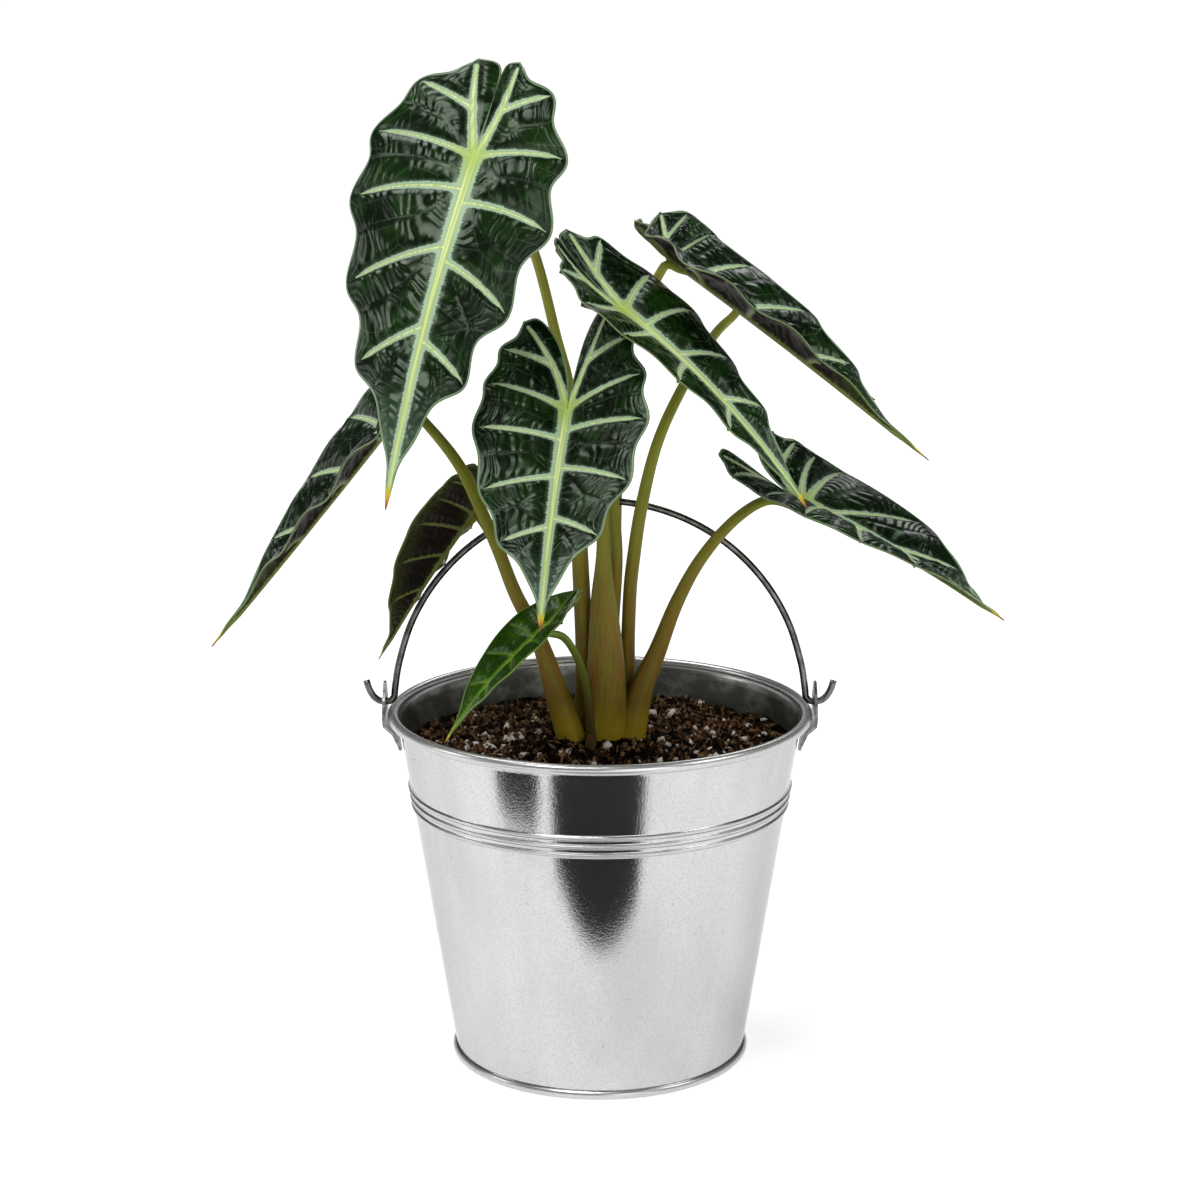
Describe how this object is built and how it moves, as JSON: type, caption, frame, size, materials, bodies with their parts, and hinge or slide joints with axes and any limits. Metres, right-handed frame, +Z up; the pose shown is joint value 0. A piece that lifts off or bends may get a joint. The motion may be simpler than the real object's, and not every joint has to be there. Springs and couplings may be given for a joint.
{
  "type": "potted alocasia plant",
  "caption": "Potted alocasia polly: dark arrow-shaped leaves with pale veins on upright stems, in soil in a tapered galvanised bucket with a wire bail.",
  "frame": {"origin": "centre of the bucket's flat base, at floor level on the bucket's axis", "axes": "+Z up along the bucket's axis, -Y towards the viewer of the pictured front, +X to that viewer's right; the bail's pivots lie on X"},
  "size_m": [0.2348, 0.162, 0.3057],
  "materials": {
    "galvanised_steel": "bright galvanised, glossy with a fine grain",
    "bail_wire": "drawn galvanised wire",
    "potting_mix": null,
    "sheath_tissue": null,
    "leaf_blade": null,
    "young_blade": null,
    "petiole": null
  },
  "bodies": {
    "planted_bucket": {"bucket_wall": "galvanised_steel", "bucket_base": "galvanised_steel", "ear_left": "galvanised_steel", "ear_right": "galvanised_steel", "soil": "potting_mix", "rootstock": "sheath_tissue", "sheath_stub": "sheath_tissue", "blade_upper_left": "leaf_blade", "blade_centre": "leaf_blade", "blade_middle_right": "leaf_blade", "blade_upper_right": "leaf_blade", "blade_lower_right": "leaf_blade", "blade_far_left": "leaf_blade", "blade_lower_left": "leaf_blade", "blade_young_front": "young_blade", "blade_hidden_back": "leaf_blade", "petiole_upper_left": "petiole", "petiole_centre": "petiole", "petiole_middle_right": "petiole", "petiole_upper_right": "petiole", "petiole_lower_right": "petiole", "petiole_far_left": "petiole", "petiole_lower_left": "petiole", "petiole_young_front": "petiole", "petiole_hidden_back": "petiole"},
    "bail": {"bail": "bail_wire"}
  },
  "joints": [
    {"name": "bail_swing", "type": "hinge", "parent": "planted_bucket", "child": "bail", "pos_m": [0, 0, 0.1118], "axis": [1, 0, 0], "range_deg": [0, 8]}
  ]
}
